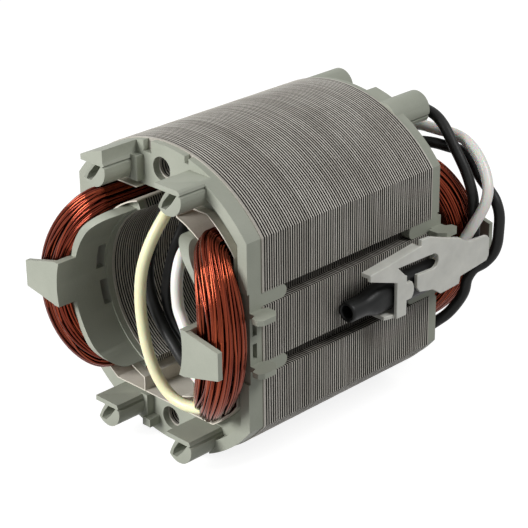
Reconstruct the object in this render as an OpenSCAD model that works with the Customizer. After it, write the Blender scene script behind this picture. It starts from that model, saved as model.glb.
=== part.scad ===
// Wound stator of a two-pole universal motor: a laminated core with a pole on
// each side, a coil round each pole, a moulded insulator on each end, slot
// liners, leads and a clip that holds the terminal boot on the rear right side.
// Frame: bore along Y, front end at -Y, poles on X, +Z up, origin mid-stack.

/* [Lamination stack] */
// Outer diameter of the laminations
stack_d = 93; // [91:0.5:97]
// Length of the pressed stack
stack_len = 70; // [50:1:90]
// Distance across the two side flats
flat_w = 73.4; // [72:0.2:76]
// Diameter of the bore between the pole faces
bore_d = 51.5; // [49:0.5:53]
// Thickness of the pole horns
horn_t = 3; // [2.6:0.1:3.6]
// Angle left open between facing horn tips
horn_gap = 44; // [40:1:50]
// Width of the pole necks
pole_w = 31; // [28:0.5:34]
// Yoke thickness round the coil corners
yoke_t = 8; // [7:0.1:8.6]
// Yoke thickness behind the side flats
side_yoke_t = 5.7; // [5:0.1:6.4]
// Radial depth of the yoke at the through bolts
land_t = 14; // [13:0.1:15]
// Distance from the outer edge to the middle of a through bolt
bolt_inset = 7.5; // [6.5:0.1:8.5]
// Diameter of the through-bolt holes
bolt_d = 6; // [5:0.1:6.5]
// Distance from the middle of a flat to each key groove
groove_pos = 10.5; // [9.5:0.1:11.5]
// Width of the key grooves
groove_w = 4.2; // [3:0.1:5]
// Depth of the key grooves
groove_depth = 3.5; // [2.5:0.1:4]

/* [Slot liners] */
// Thickness of the insulating paper
liner_t = 0.4; // [0.2:0.05:0.5]
// How far the paper stands out of the stack
liner_reach = 4.5; // [3:0.1:5]
// Distance from the middle plane to the liner's closing wall
liner_close = 8; // [7:0.1:9]

/* [Coils] */
// Width of the wire bundle across its band
coil_band = 12.4; // [10:0.1:13]
// How far the middle of a front end turn stands out of the stack
coil_reach = 12.2; // [11.5:0.1:15]
// How far the middle of a rear end turn stands out of the stack
rear_coil_reach = 16.2; // [14:0.1:18]
// How much thicker an end turn is than the part in the slot
coil_swell = 1.4; // [0:0.1:1.8]
// How much fuller the lower half of an end turn is than the upper half
coil_sag = 0.15; // [0:0.01:0.2]
// Ridges of wire round the bundle
coil_ridges = 26; // [16:1:30]
// Height of a ridge of wire
ridge_h = 0.35; // [0.1:0.05:0.5]

/* [End insulators] */
// Thickness of the face plate
plate_t = 2; // [1.5:0.1:2.5]
// Setback of the moulding from the lamination edge
edge_setback = 0.3; // [0.1:0.1:0.6]
// Hole in the plate for a through bolt
plate_hole_d = 7; // [6.6:0.1:8]
// Thickness of the rim wall
rim_t = 3.5; // [2:0.1:3.8]
// How far the front rim wall stands out of the stack
rim_reach = 5.3; // [4:0.1:5.5]
// How far the rear rim wall stands out of the stack
rear_rim_reach = 3.6; // [2.8:0.1:5.5]
// Step from the bore to the coil tongue
tongue_step = 0.75; // [0.4:0.05:1]
// Thickness of the coil tongue
tongue_t = 2.2; // [1.2:0.1:2.2]
// How far the left front tongue stands out of the stack
tongue_reach = 14; // [13:0.1:18]
// Width of the tongue
tongue_w = 48; // [42:0.2:48]
// Corner radius of the left tongue
tongue_corner = 6.5; // [5:0.5:11]
// How far the right front tongue stands out of the stack
right_tongue_reach = 11.4; // [10:0.1:15]
// Corner radius of the right tongue
right_tongue_corner = 6.5; // [3:0.5:9]
// How far down the right tongue goes from the middle
right_tongue_low = 10.5; // [9:0.1:11]
// Width of the hook tab at its root
tab_root_w = 14; // [10:0.2:16]
// Width of the hook tab at its tip
tab_tip_w = 8.2; // [5:0.2:10]
// Reach of the hook tab out from the tongue
tab_reach = 13.4; // [10:0.2:15]
// Thickness of the hook tab
tab_t = 1.6; // [1.2:0.1:2.2]

/* [Wire clips] */
// Distance from the middle plane to each clip
clip_pos = 15.4; // [14.8:0.1:16.5]
// Outer radius of the trough
clip_r = 5.2; // [4.5:0.1:5.4]
// Wall of the trough
clip_wall = 1.6; // [1.2:0.1:2]
// Thickness of the fin over the trough
clip_fin_t = 1.5; // [1:0.1:2]
// Height of the fin's top over the trough's centre
clip_fin_h = 3; // [2.6:0.1:3.2]
// How far the front clips stand out of the stack
clip_reach = 14.5; // [10:0.1:17]
// How far the rear clips stand out of the stack
rear_clip_reach = 15.2; // [10:0.1:17]

/* [Side shelves and keys] */
// Reach of a shelf beyond the flat
shelf_reach = 5.6; // [4:0.1:7]
// Thickness of a shelf
shelf_t = 1.6; // [1.2:0.1:2]
// Length of a key inside its groove
key_len = 9.6; // [6:0.1:14]

/* [Connector holder and boot] */
// Wall of the holder
holder_t = 1.2; // [0.9:0.1:1.5]
// Height of the boot's flat body
boot_h = 9.2; // [8.8:0.1:9.6]
// Thickness of the boot's flat body
boot_t = 6.8; // [6.4:0.1:7.4]
// Wall of the boot
boot_wall = 0.9; // [0.7:0.05:1]
// Diameter of the boot's free end
boot_tip_d = 6.2; // [5.4:0.1:6.8]
// Hole through the boot's free end
boot_hole_d = 4; // [3:0.1:4.4]
// Length of the terminal's crimped barrel
barrel_len = 7; // [5:0.2:9]
// Length of the holder's walls between the shelves
slide_len = 3.6; // [2.4:0.1:3.6]

/* [Leads] */
// Outer diameter of a lead
lead_d = 3.4; // [2.8:0.1:3.5]

/* [Hidden] */

// Fineness of round forms
$fn = 96;
// Paper and wire clearances
fit_gap = 0.1;
// Overlap that joins pieces of one moulding
weld = 0.05;

// Stack, derived
half_len = stack_len / 2;
stack_r = stack_d / 2;
flat_x = flat_w / 2;
bore_r = bore_d / 2;
horn_r = bore_r + horn_t;
yoke_r = stack_r - yoke_t;
yoke_x = flat_x - side_yoke_t;
land_z = stack_r - land_t;
bolt_span = stack_d - 2 * bolt_inset;

// Coil section: a rounded oblong between horn and yoke, set as near the middle of
// the pole as the side yoke lets its outer corner go and the pole neck its inner one
coil_gap = liner_t + 2 * fit_gap;
coil_in_r = horn_r + coil_gap;
coil_out_r = yoke_r - coil_gap - fit_gap;
coil_mid_r = (coil_in_r + coil_out_r) / 2;
coil_depth = coil_out_r - coil_in_r;
coil_power = 2.6;
corner_share = pow(0.5, 1 / coil_power);
outer_corner_r = coil_mid_r + corner_share * coil_depth / 2;
inner_corner_r = coil_mid_r - corner_share * coil_depth / 2;
corner_gap = coil_gap + 3 * fit_gap;
corner_turn = max(acos((yoke_x - corner_gap) / outer_corner_r),
                  asin((pole_w / 2 + corner_gap) / inner_corner_r));
// Arc from the middle plane to the middle of a coil side
coil_arc = corner_turn * PI / 180 * coil_mid_r + corner_share * coil_band / 2;
// Straight part of a coil side, just past the liner
coil_straight = half_len + liner_reach + 2 * fit_gap;
// Rings on half an end turn
turn_steps = 9;

// Insulator, derived
moulding_r = stack_r - edge_setback;
moulding_x = flat_x - edge_setback;
tongue_in_r = bore_r + tongue_step;
tongue_out_r = tongue_in_r + tongue_t;
tab_shift = tab_root_w / 2 - 5.5;
clip_top_z = land_z + 1 + clip_r;
clip_low_z = -land_z - 1.2 - clip_fin_h;
clip_side = clip_pos + clip_r;
// How far the lower clips and every trough stand to the right
low_clip_shift = 0.8;
trough_shift = 0.8;
// How far the lip of a trough slopes down to its free end, and over what length
lip_slope = 5;
lip_len = 7.5;
clip_web = 2.4;
clip_tip = 1;
shelf_z = groove_pos - groove_w / 2 - 0.4;
shelf_y = half_len + 4.6;
// Step from the rim down to the wall between the key grooves
wall_step = 0.7;
// How much further out the rear insulator's upper clips stand
rear_clip_lift = 2;

// Holder and boot, derived
side_gap = 0.4;
boot_x = flat_x + side_gap + boot_t / 2;
boot_z = -2.3;
boot_end_y = half_len - 3.4;
boot_body_y = half_len - 29;
boot_neck_y = half_len - 35;
boot_tip_y = half_len - 40.8;
// How deep the terminal sits in the boot's open end
terminal_depth = 4.4;
// Heights of the two leads in the boot, over its middle
lead_sides = [1.85, -1.8];
holder_x = boot_x + boot_t / 2 + 3 * fit_gap;
holder_back = flat_x + side_gap;
holder_low = boot_z - boot_h / 2 - 3 * fit_gap - holder_t;
holder_top = shelf_z - fit_gap;
holder_foot = shelf_t + fit_gap - shelf_z;

// Lead routes, from the front end to the rear end, drawn for a stack that ends at
// drawn_end; the points move with the ends of the stack
drawn_end = 35;
function with_stack(route) =
    [for (p = route) p + [0, sign(p[1]) * (half_len - drawn_end), 0]];
// Last points of a lead that ends in the boot
function into_boot(side) =
    let (z = boot_z + side, rise = 0.95 + 0.08 * side)
    [[boot_x, 39, z + rise], [boot_x, 33.6, z + rise], [boot_x, 31.7, z], [boot_x, 27.4, z]];
pale_route = with_stack([
    [20.2, -46, -26], [16, -46.6, -25.4], [11.4, -47.4, -22.6],
    [7.4, -48, -18.2], [4.4, -48.5, -11], [2.6, -48.5, -3.6], [1.5, -48, 4],
    [1.6, -47, 12.2], [2.9, -45, 19.6], [4.3, -41.6, 26], [4.5, -37.6, 29.6],
    [4.5, -32, 30.4], [4.5, 38, 30.5], [3.8, 42, 33.4], [1.4, 45.6, 36.2], [-3.6, 47.6, 35.8],
    [-7.4, 48.8, 33.2], [-11, 49.6, 30.2], [-15, 49.4, 27.4], [-18.2, 48.6, 25], [-21, 47.5, 23.4]
]);
white_route = with_stack(concat([
    [25.6, -49.2, -11.6], [23.4, -49, -9.6], [22.2, -48.6, -5.4], [20.6, -48, -0.8],
    [18.2, -47.3, 2.2], [16, -46.7, 4.9], [15.1, -46.3, 8.2], [14.7, -46, 11.6], [14.3, -45.3, 14.4],
    [14, -44.2, 17.2], [13.2, -42.2, 19.2], [11.6, -38.4, 20.2], [9.8, -34, 20.7],
    [7.2, -29, 23.6], [6.3, -23, 26.5], [6.1, -18, 26.9], [6.1, 38, 27.4], [6.5, 42, 29.2],
    [7.4, 46, 31], [10, 51, 31.5],
    [14, 55.2, 31], [20.4, 57, 30.4], [26, 57.6, 30.3], [30.4, 57.4, 29.5],
    [34.4, 56.8, 27.6], [38, 55.8, 24.9], [41, 54.6, 21.6], [43.2, 52.8, 18],
    [43.8, 51, 14.6], [43.4, 49.2, 11.6], [42.6, 47.4, 8.6], [41.4, 45.6, 5],
    [40.7, 43, 1.8]
], into_boot(lead_sides[0])));
inner_route = with_stack(concat([
    [25.2, -45.6, -12.5], [21.6, -45.4, -13.3], [17.6, -44.8, -13.2], [13.6, -43.8, -12.4],
    [9.6, -42.9, -10.2], [5.4, -42.4, -7], [1.2, -42.4, -1.4],
    [-0.9, -42.4, 4], [-1.6, -42, 11.4], [-1, -40.8, 17], [-0.4, -38.8, 22.6],
    [-1, -34.6, 27], [-1.1, -29, 28.2],
    [-1.1, 30, 28.2], [-0.6, 38, 28.6], [1, 45, 31.2], [5.2, 51, 35.4],
    [11, 54, 37.8], [17.6, 53.9, 37.2], [21.8, 53.6, 36.2], [25.2, 53, 34.4],
    [28, 52.4, 31.9], [30.5, 52.2, 28.7], [33.1, 52, 25.5], [35.4, 51.8, 22.4],
    [37.4, 51.5, 19], [39, 51.2, 15.2], [39.8, 50.8, 11], [40.9, 50, 6],
    [41.2, 48.8, 1], [40.8, 46.6, -2], [40.5, 43, -3.2]
], into_boot(lead_sides[1])));
outer_route = with_stack([
    [25.2, -41.9, -12.9], [21.6, -41.7, -13.4], [17.6, -41, -13.2], [13.6, -39.8, -12.2],
    [9.4, -38.9, -9.6], [5.4, -38.7, -6.2], [2.6, -38.6, -1.8],
    [2.1, -38.6, 3.6], [3.2, -38.2, 10.4], [4.4, -37, 16.6], [4.6, -34, 21.6],
    [3.4, -29, 25.6], [2.5, -22, 27.3], [2.5, 36, 27.2], [3.2, 41, 26.2],
    [6.4, 46, 25.8], [12.4, 50.8, 26.5], [19, 55, 26.6], [24.1, 57.3, 25.8], [28.6, 58.5, 25.1],
    [32.4, 58.6, 22.6], [35.6, 58.4, 18.9], [39.2, 58, 16.2], [42.6, 57.4, 13.6],
    [44.6, 57, 9.6], [45.3, 56.2, 5], [45.2, 55.7, 0.4], [44, 55.2, -3.2],
    [42.2, 53.6, -6], [40.8, 50.6, -7.4], [40.2, 48.4, -10], [39.4, 48.2, -14.4],
    [37.4, 47.4, -18.8], [35.2, 45.4, -22.6], [33, 43.4, -25]
]);

// Sweeps a plane outline drawn in X and Z from one Y to another
module along_y(y0, y1) {
    translate([0, y1, 0]) rotate([90, 0, 0]) linear_extrude(y1 - y0) children();
}

// Sweeps a side outline drawn in Y and Z from one X to another
module along_x(x0, x1) {
    translate([x0, 0, 0]) rotate([90, 0, 90]) linear_extrude(x1 - x0) children();
}

// Sweeps a plan outline drawn in X and Y from one Z to another
module along_z(z0, z1) {
    translate([0, 0, z0]) linear_extrude(z1 - z0) children();
}

// Lamination section

// Round outline with the two side flats
module stack_outline(inset = 0) {
    intersection() {
        circle(r = stack_r - inset);
        square([2 * (flat_x - inset), stack_d], center = true);
    }
}

// Space for the coil sides above the poles, from one side yoke to the other
module upper_slot() {
    difference() {
        intersection() {
            circle(r = yoke_r);
            translate([-yoke_x, pole_w / 2]) square([2 * yoke_x, land_z - pole_w / 2]);
        }
        circle(r = horn_r);
    }
    intersection() {
        circle(r = horn_r + weld);
        polygon([[0, 0], horn_r * [tan(horn_gap / 2), 1], horn_r * [-tan(horn_gap / 2), 1]]);
    }
}

// Section of a lamination, or of the plate that covers it
module lamination(inset, bore, hole) {
    difference() {
        stack_outline(inset);
        circle(r = bore);
        upper_slot();
        rotate(180) upper_slot();
        for (side = [-1, 1]) translate([0, side * bolt_span / 2]) circle(d = hole);
    }
}

module lamination_stack() color([0.47, 0.46, 0.44]) {
    along_y(-half_len, half_len) difference() {
        lamination(0, bore_r, bolt_d);
        for (side = [-1, 1], key = [-1, 1])
            translate([side * flat_x, key * groove_pos])
                square([2 * groove_depth, groove_w], center = true);
    }
}

// Slot liners

// Space that the paper lines, on the upper right
module liner_space(inset) {
    difference() {
        intersection() {
            circle(r = yoke_r - inset);
            translate([liner_close + inset, pole_w / 2 + inset])
                square([yoke_x - liner_close - 2 * inset, land_z - pole_w / 2 - 2 * inset]);
        }
        circle(r = horn_r + inset);
    }
}

// Paper wrapped round one coil side
module slot_liner() color([0.74, 0.72, 0.67]) {
    reach = half_len + liner_reach;
    along_y(-reach, reach) difference() {
        liner_space(fit_gap);
        liner_space(fit_gap + liner_t);
    }
}

module upper_right_slot_liner() slot_liner();
module upper_left_slot_liner() mirror([1, 0, 0]) slot_liner();
module lower_right_slot_liner() mirror([0, 0, 1]) slot_liner();
module lower_left_slot_liner() rotate([0, 180, 0]) slot_liner();

// Coils

// Point on a wire. out is its height over the middle radius, across its distance
// from the middle of the band. In an end turn it runs round half an ellipse, from
// bend -90 in the lower slot to 90 in the upper one; end is -1 in front, 1 at the rear
function wire_point(bend, end, out, across) =
    let (reach = end < 0 ? coil_reach : rear_coil_reach,
         r = half_len + reach - coil_straight + across,
         turn = sin(bend) * (coil_arc + across) / coil_mid_r * 180 / PI,
         y = coil_straight + cos(bend) * r * (1 - coil_sag * sin(bend)))
    [(coil_mid_r + out) * cos(turn), end * y, (coil_mid_r + out) * sin(turn)];

// Rounded oblong with a ridge at every second point, thicker on its outer side
// by swell
function coil_section(j, swell) =
    let (q = 180 * j / coil_ridges, c = cos(q), s = sin(q), h = j % 2 == 0 ? 0 : ridge_h,
         depth = (coil_depth + swell) / 2)
    [swell / 2 + sign(c) * (depth - h) * pow(abs(c), 2 / coil_power),
     sign(s) * (coil_band / 2 - h) * pow(abs(s), 2 / coil_power)];

// Outline of the bundle at one bend
function coil_ring(bend, end) =
    [for (j = [0 : 2 * coil_ridges - 1])
        let (s = coil_section(j, coil_swell * cos(bend))) wire_point(bend, end, s[0], s[1])];

module coil() {
    step = 90 / turn_steps;
    rings = concat(
        [for (k = [-turn_steps : turn_steps]) coil_ring(k * step, -1)],
        [for (k = [turn_steps : -1 : -turn_steps]) coil_ring(k * step, 1)]);
    closed_sweep(rings);
}

// Closed ring of cross sections, all with the same number of points
module closed_sweep(rings) {
    n = len(rings);
    m = len(rings[0]);
    points = [for (r = rings) each r];
    faces = [for (i = [0 : n - 1], j = [0 : m - 1])
        let (a = i * m, b = (i + 1) % n * m, k = (j + 1) % m)
        each [[a + j, a + k, b + k], [a + j, b + k, b + j]]];
    polyhedron(points, faces);
}

module right_coil() color([0.5, 0.2, 0.12]) coil();
module left_coil() color([0.5, 0.2, 0.12]) mirror([1, 0, 0]) coil();

// End insulators

// Wire clip: a trough with a fin over it. The room between them narrows to the right,
// where a groove outside marks the fin's lower edge
module clip_section() {
    fin_under = clip_fin_h - clip_fin_t;
    room = clip_r - clip_wall;
    difference() {
        union() {
            intersection() {
                translate([trough_shift, 0]) circle(r = clip_r);
                translate([-clip_r, -clip_r]) square([4 * clip_r, clip_r + clip_fin_h]);
            }
            translate([clip_r - clip_web, 0]) square([clip_web, clip_fin_h]);
            translate([clip_tip - clip_r, fin_under])
                square([2 * clip_r - clip_tip, clip_fin_t]);
        }
        polygon([
            [clip_r - 0.8, fin_under], [room * 0.6, -room * 0.4], [0, -room], [-room / 2, -room],
            [-room * 0.75, -room * 0.7], [-room * 0.75, fin_under]]);
        polygon([
            [clip_r + 1.2, fin_under - 0.7], [clip_r + 1.2, fin_under + 0.7], [clip_r - 0.2, fin_under]]);
    }
}

// All four clips of one end, the upper pair trimmed to the round of the stack.
// low_z is the height of the lower pair
module clips(reach, low_z) {
    spots = [
        [-clip_pos, clip_top_z], [clip_pos, clip_top_z],
        [low_clip_shift - clip_pos, low_z], [low_clip_shift + clip_pos, low_z]];
    free_y = -half_len - reach;
    difference() {
        along_y(free_y, -half_len) {
            intersection() {
                union() {
                    for (k = [0, 1]) translate(spots[k]) clip_section();
                    translate([clip_tip - clip_side, clip_top_z + clip_fin_h - weld])
                        square([2 * clip_r - clip_tip, stack_r]);
                }
                circle(r = moulding_r);
            }
            for (k = [2, 3]) translate(spots[k]) clip_section();
        }
        for (spot = spots)
            along_x(spot[0] - clip_r - 1, spot[0] - 1)
                translate([0, spot[1] + clip_fin_h - clip_fin_t]) polygon([
                    [free_y, -lip_slope], [free_y - 1, -lip_slope], [free_y - 1, 0],
                    [free_y + lip_len, 0]]);
    }
}

// Ribs and blocks that brace the clips against the plate
module clip_ribs() {
    rib_x = clip_r - clip_pos;
    rib_w = 2.8;
    along_y(-shelf_y, -half_len) {
        translate([rib_x - weld, land_z + 1.5]) square([rib_w, 7.4]);
        translate([rib_x - weld, -land_z - 8.4]) square([rib_w, 7.4]);
    }
    along_y(-shelf_y - 1.4, -half_len) intersection() {
        circle(r = moulding_r);
        union() {
            translate([rib_x + 2, -land_z - 10.3]) square([3.2, 2.6]);
            translate([clip_pos - clip_r - 1.4, -stack_r]) square([6.4, land_t - 10.4]);
        }
    }
}

// Face plate with its bolt holes and the two notches in the top edge
module face_plate() {
    difference() {
        along_y(-half_len - plate_t, -half_len)
            lamination(edge_setback, bore_r + edge_setback, plate_hole_d);
        for (notch = [[-5.6, 3.2, 3.4], [10.3, 1.6, 1.8]])
            translate([notch[0] - notch[1] / 2, -half_len - plate_t - 1, 0])
                translate([0, 0, sqrt(pow(moulding_r, 2) - pow(notch[0], 2)) - notch[2]])
                    cube([notch[1], plate_t + 2, stack_r]);
    }
}

// Rim wall outside the right end turn, lower between the key grooves
module rim(reach) {
    wall_z = groove_pos + groove_w / 2 + 1;
    along_y(-half_len - reach, -half_len) difference() {
        rim_section();
        square([stack_d, 2 * wall_z], center = true);
    }
    difference() {
        along_y(wall_step - half_len - reach, -half_len) intersection() {
            rim_section();
            square([stack_d, 2 * wall_z + weld], center = true);
        }
        for (z = [-4, 3])
            translate([0, -half_len - 2.8, z]) cube([stack_d, 1.6, 4.6], center = true);
    }
}

module rim_section() {
    difference() {
        stack_outline(edge_setback);
        stack_outline(edge_setback + rim_t);
        translate([-stack_d, -stack_d]) square([stack_d + clip_side - 1, 2 * stack_d]);
    }
}

// Side outline of a tongue, from the plate out to reach and from low to high
module tongue_outline(reach, corner, low, high) {
    end_y = half_len + reach;
    translate([corner - end_y, low]) square([reach - corner, high - low]);
    translate([-end_y, low + corner]) square([reach, high - low - 2 * corner]);
    for (z = [low + corner, high - corner]) translate([corner - end_y, z]) circle(r = corner);
}

// Tongue between bore and end turn, with its hook tab, on the left side. turn
// is how far the middle of the end turn that it holds stands out
module tongue(turn, reach, corner, high) {
    tab_y = half_len + turn + coil_band / 2 + 4 * fit_gap;
    difference() {
        intersection() {
            along_y(-tab_y - tab_t, -half_len) difference() {
                circle(r = tongue_out_r);
                circle(r = tongue_in_r);
            }
            along_x(-stack_r, -horn_t) {
                tongue_outline(reach, corner, -tongue_w / 2, high);
                translate([-tab_y - tab_t, tab_shift - tab_root_w / 2])
                    square([tab_y + tab_t - half_len, tab_root_w]);
            }
        }
        translate([-stack_r, -half_len - 5.6, 1.6]) cube([stack_r, 3, 7.8]);
        translate([-stack_r, -half_len - 4.6, -9.6]) cube([stack_r, 2.6, 7.2]);
    }
    tab_x = tongue_in_r + tongue_t / 4;
    along_y(-tab_y - tab_t, -tab_y) translate([-tab_x, tab_shift]) polygon([
        [0, -tab_root_w / 2], [0, tab_root_w / 2],
        [-tab_reach, tab_tip_w / 2 - 0.6], [-tab_reach, -tab_tip_w / 2 - 0.6]]);
}

// Shelves that stand out over the flat and keys that enter the grooves
module side_mounts() {
    key_r = groove_w / 2 - fit_gap;
    inner_x = moulding_x - rim_t;
    tip_x = flat_x + shelf_reach;
    over_x = flat_x + 2 * fit_gap;
    back_y = half_len - 1.5;
    front_y = half_len + 6.4;
    for (key = [-1, 1])
        along_x(flat_x - groove_depth + fit_gap, moulding_x) translate([0, key * groove_pos]) {
            translate([-shelf_y, -key_r]) square([shelf_y - half_len + key_len - key_r, 2 * key_r]);
            translate([key_len - key_r - half_len, 0]) circle(r = key_r);
        }
    for (z = [shelf_z - shelf_t, -shelf_z - shelf_t])
        along_z(z, z + shelf_t) polygon([
            [inner_x, -half_len], [over_x, -half_len], [over_x, -back_y], [tip_x - 2, -back_y],
            [tip_x, -back_y - 2], [tip_x, -front_y + 1.5], [tip_x - 1.2, -front_y],
            [tip_x - 3.2, -front_y], [tip_x - 4, -shelf_y], [inner_x, -shelf_y]]);
}

// Moulding of one end, as it stands on the front
module end_insulator(rim_out, clip_out, low_z, turn) color([0.56, 0.58, 0.52]) {
    face_plate();
    rim(rim_out);
    clips(clip_out, low_z);
    clip_ribs();
    tongue(turn, tongue_reach + turn - coil_reach, tongue_corner, tongue_w / 2);
    rotate([0, 180, 0])
        tongue(turn, right_tongue_reach + turn - coil_reach, right_tongue_corner, right_tongue_low);
    side_mounts();
    mirror([1, 0, 0]) side_mounts();
}

module front_end_insulator() end_insulator(rim_reach, clip_reach, clip_low_z, coil_reach);

module rear_end_insulator() rotate([180, 0, 0])
    end_insulator(rear_rim_reach, rear_clip_reach, clip_low_z - rear_clip_lift, rear_coil_reach);

// Connector holder, boot and terminal

// Side outline of the holder: arm, strap, body and the keyhole between them. Y is
// measured from the rear face of the stack
strap_y = -24.8;
strap_w = 4.2;
arm_end = [-36.2, 9];
arm_root = [-14.6, 11.2];
module holder_outline() {
    difference() {
        polygon([
            [-36.2, 7], arm_end, arm_root, [-14.6, 13], [-10.6, 12.8], [-4, 10.4],
            [2.6, 8.4], [4.6, 7], [6.8, 5.8], [15.6, 5], [16.8, 3.8], [16.8, -1.6],
            [15.8, -3.2], [3.6, -4.4], [3, -6.6], [-5.2, -7], [-9, -4.4], [-14.8, -3.2],
            [-16.1, -1.4], [-16.1, 3], [-24.8, 3], [-31, 5.2]]);
        translate([-9.2, 4.6]) circle(r = 2.4);
        polygon([[-20.8, 3.8], [-24.4, 7.4], [-14.8, 7.2], [-9.2, 7], [-9.2, 2.2], [-16.1, 2.6],
                 [-16.1, 1], [-20.8, 1]]);
    }
    tab_w = 2;
    tab_r = 2.7;
    tab_z = -1.2;
    translate([strap_y, holder_low]) square([strap_w, 4 - holder_low]);
    translate([strap_y + strap_w - weld, tab_z - tab_r]) square([tab_w, 2 * tab_r]);
    translate([strap_y + strap_w + tab_w - tab_r, tab_z]) intersection() {
        circle(r = tab_r + 1.2);
        translate([0, tab_z - 1.5]) square([2 * tab_r, 2 * tab_r]);
    }
}

module connector_holder() color([0.86, 0.86, 0.82, 0.9]) translate([0, half_len, 0]) {
    roof_w = 2.4;
    depth = holder_x + weld - holder_back;
    along_x(holder_x, holder_x + holder_t) holder_outline();
    // Stiffening edge along the top of the arm
    along_x(holder_x - roof_w, holder_x + weld)
        polygon([arm_end - [0, holder_t], arm_end, arm_root, arm_root - [0, holder_t]]);
    // Foot under the boot
    along_z(holder_low, holder_low + holder_t) {
        translate([holder_back, strap_y]) square([depth, strap_w]);
        translate([holder_back, strap_y + weld]) intersection() {
            circle(r = depth - weld);
            translate([0, -3.4]) square([stack_r, 3.4]);
        }
    }
    // Walls that slide between the shelves
    for (z = [holder_top - holder_t, holder_foot])
        along_z(z, z + holder_t) translate([holder_back, 2.4 - slide_len]) square([depth, slide_len]);
}

// Flat oval outline in X and Z, round at its ends
module oval(height, width) {
    for (side = [-1, 1]) translate([0, side * (height - width) / 2]) circle(d = width, $fn = 48);
    square([width, height - width], center = true);
}

module terminal_boot() color([0.14, 0.14, 0.14]) {
    translate([boot_x, 0, boot_z]) difference() {
        union() {
            along_y(boot_tip_y, boot_neck_y) circle(d = boot_tip_d);
            along_y(boot_body_y, boot_end_y) oval(boot_h, boot_t);
            hull() {
                along_y(boot_neck_y - weld, boot_neck_y) circle(d = boot_tip_d, $fn = 32);
                along_y(boot_body_y, boot_body_y + weld) oval(boot_h, boot_t);
            }
        }
        along_y(boot_tip_y - 1, boot_end_y) circle(d = boot_hole_d);
        along_y(boot_body_y, boot_end_y + 1)
            oval(boot_h - 2 * boot_wall, boot_t - 2 * boot_wall);
    }
}

// Folded receptacle with a barrel crimped round both leads
module receptacle_terminal() color([0.78, 0.62, 0.3]) {
    room_h = boot_h - 2 * boot_wall - 3 * fit_gap;
    room_t = boot_t - 2 * boot_wall - 3 * fit_gap;
    barrel_end = boot_end_y - terminal_depth;
    barrel_y = barrel_end - barrel_len;
    translate([boot_x, 0, boot_z]) {
        along_y(boot_body_y + 1, barrel_y) difference() {
            oval(room_h, room_t / 2);
            square([room_t / 4, room_h - 2], center = true);
        }
        along_y(barrel_y - weld, barrel_end) oval(room_h, room_t);
    }
}

// Leads

function unit(v) = v / norm(v);

function along(route, i) =
    unit(route[min(i + 1, len(route) - 1)] - route[max(i - 1, 0)]);

// Side direction carried along the route without twist
function aside(route, i) =
    i == 0 ? unit(cross(along(route, 0), [0.3, 0.2, 1]))
    : let (t = along(route, i), s = aside(route, i - 1)) unit(s - (s * t) * t);

// Round cord swept along a route
module lead(route) {
    sides = 8;
    n = len(route);
    points = [for (i = [0 : n - 1])
        let (s = aside(route, i), u = cross(along(route, i), s))
        for (j = [0 : sides - 1])
            route[i] + lead_d / 2 * (cos(360 * j / sides) * s + sin(360 * j / sides) * u)];
    walls = [for (i = [0 : n - 2], j = [0 : sides - 1])
        let (a = i * sides, b = a + sides, k = (j + 1) % sides)
        each [[a + j, b + k, a + k], [a + j, b + j, b + k]]];
    ends = [[for (j = [0 : sides - 1]) j],
            [for (j = [sides - 1 : -1 : 0]) (n - 1) * sides + j]];
    polyhedron(points, concat(walls, ends));
}

module pale_lead() color([0.92, 0.9, 0.74]) lead(pale_route);
module white_lead() color([0.94, 0.93, 0.91]) lead(white_route);
module inner_black_lead() color([0.16, 0.16, 0.15]) lead(inner_route);
module outer_black_lead() color([0.16, 0.16, 0.15]) lead(outer_route);

lamination_stack();
front_end_insulator();
rear_end_insulator();
right_coil();
left_coil();
upper_right_slot_liner();
upper_left_slot_liner();
lower_right_slot_liner();
lower_left_slot_liner();
connector_holder();
terminal_boot();
receptacle_terminal();
pale_lead();
white_lead();
inner_black_lead();
outer_black_lead();
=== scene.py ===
import bmesh
import bpy
import numpy as np
from mathutils import Matrix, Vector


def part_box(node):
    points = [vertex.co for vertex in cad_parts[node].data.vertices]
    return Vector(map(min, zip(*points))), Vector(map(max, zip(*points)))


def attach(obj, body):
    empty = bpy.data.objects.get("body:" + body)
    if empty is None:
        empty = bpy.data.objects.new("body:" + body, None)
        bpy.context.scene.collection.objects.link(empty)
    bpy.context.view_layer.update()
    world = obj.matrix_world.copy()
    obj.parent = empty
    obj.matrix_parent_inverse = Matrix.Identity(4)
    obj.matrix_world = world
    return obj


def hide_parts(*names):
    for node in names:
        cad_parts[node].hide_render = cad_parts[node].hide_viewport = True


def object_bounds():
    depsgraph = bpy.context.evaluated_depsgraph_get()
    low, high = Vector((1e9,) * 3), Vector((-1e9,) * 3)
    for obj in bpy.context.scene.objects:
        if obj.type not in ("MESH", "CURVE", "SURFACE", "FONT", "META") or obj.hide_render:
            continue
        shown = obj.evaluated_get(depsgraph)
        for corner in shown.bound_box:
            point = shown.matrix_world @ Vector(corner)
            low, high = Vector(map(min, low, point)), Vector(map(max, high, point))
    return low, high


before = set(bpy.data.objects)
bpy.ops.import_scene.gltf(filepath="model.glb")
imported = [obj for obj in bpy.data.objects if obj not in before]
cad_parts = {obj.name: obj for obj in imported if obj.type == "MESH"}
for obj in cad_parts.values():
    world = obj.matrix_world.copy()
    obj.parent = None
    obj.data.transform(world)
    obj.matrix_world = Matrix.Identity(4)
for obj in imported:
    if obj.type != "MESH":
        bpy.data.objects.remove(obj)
cad_box = [list(corner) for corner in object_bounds()]


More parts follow.
